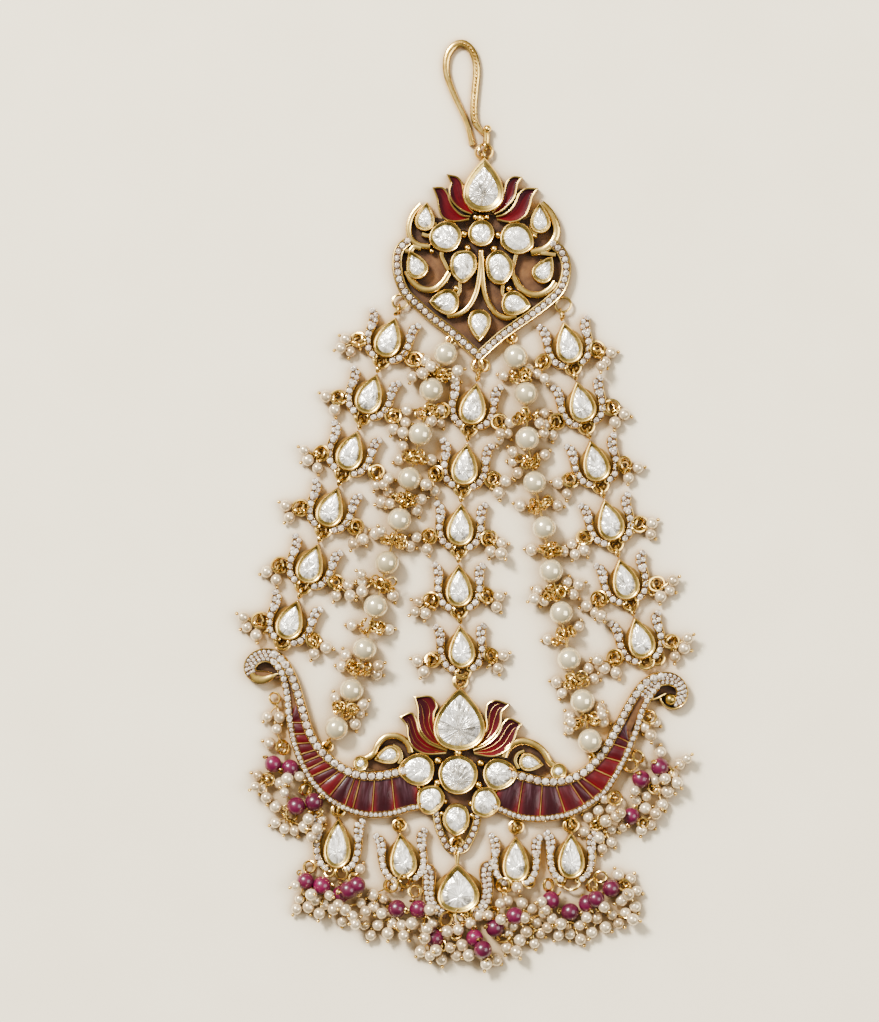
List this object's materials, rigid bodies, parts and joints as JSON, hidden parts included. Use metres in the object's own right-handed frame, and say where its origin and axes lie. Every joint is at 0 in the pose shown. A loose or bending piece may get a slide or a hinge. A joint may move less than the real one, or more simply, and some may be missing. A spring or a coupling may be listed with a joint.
{
  "type": "jhoomar",
  "caption": "Side-head ornament lying face up: a pierced stone-set crest on a hair hook, link strands and pearl strings down to an enamelled crescent with stone drops and bead fringes.",
  "frame": {"origin": "centre of the bounding box, on the surface that it lies on", "axes": "+Y along the ornament towards its hair hook, +X across it to the right as seen face on, +Z out of its face"},
  "size_m": [0.0848, 0.1766, 0.0046],
  "materials": {
    "gold": "gold plated, polished with darkened recesses",
    "foiled_glass": "clear cut stones backed with crumpled silver foil",
    "red_enamel": "glossy deep red enamel",
    "pearl": "pearly lustre",
    "ruby_bead": "polished dark magenta"
  },
  "bodies": {
    "root": {"hair_hook": "gold", "hook_ring": "gold", "crest_frame": "gold", "crest_top_stone": "foiled_glass", "crest_round_stone": "foiled_glass", "crest_upper_stone_left": "foiled_glass", "crest_upper_stone_right": "foiled_glass", "crest_middle_stone_left": "foiled_glass", "crest_middle_stone_right": "foiled_glass", "crest_inner_petal_left": "red_enamel", "crest_inner_petal_right": "red_enamel", "crest_outer_petal_left": "red_enamel", "crest_outer_petal_right": "red_enamel", "left_link_1": "gold", "left_link_2": "gold", "left_link_3": "gold", "left_link_4": "gold", "left_link_5": "gold", "left_link_6": "gold", "centre_link_1": "gold", "centre_link_2": "gold", "centre_link_3": "gold", "centre_link_4": "gold", "centre_link_5": "gold", "right_link_1": "gold", "right_link_2": "gold", "right_link_3": "gold", "right_link_4": "gold", "right_link_5": "gold", "right_link_6": "gold", "left_pearl_string": "pearl", "right_pearl_string": "pearl", "crescent_frame": "gold", "crescent_top_stone": "foiled_glass", "crescent_round_stone": "foiled_glass", "crescent_side_stone_left": "foiled_glass", "crescent_side_stone_right": "foiled_glass", "crescent_lower_stone_left": "foiled_glass", "crescent_lower_stone_right": "foiled_glass", "crescent_foot_stone": "foiled_glass", "crescent_inner_petal_left": "red_enamel", "crescent_inner_petal_right": "red_enamel", "crescent_outer_petal_left": "red_enamel", "crescent_outer_petal_right": "red_enamel", "crescent_inlay_left": "red_enamel", "crescent_inlay_right": "red_enamel", "drop_1": "gold", "drop_2": "gold", "drop_3": "gold", "drop_4": "gold", "drop_5": "gold", "drop_1_fringe": "ruby_bead", "drop_2_fringe": "ruby_bead", "drop_3_fringe": "ruby_bead", "drop_4_fringe": "ruby_bead", "drop_5_fringe": "ruby_bead", "left_fringe": "ruby_bead", "right_fringe": "ruby_bead"}
  },
  "joints": []
}
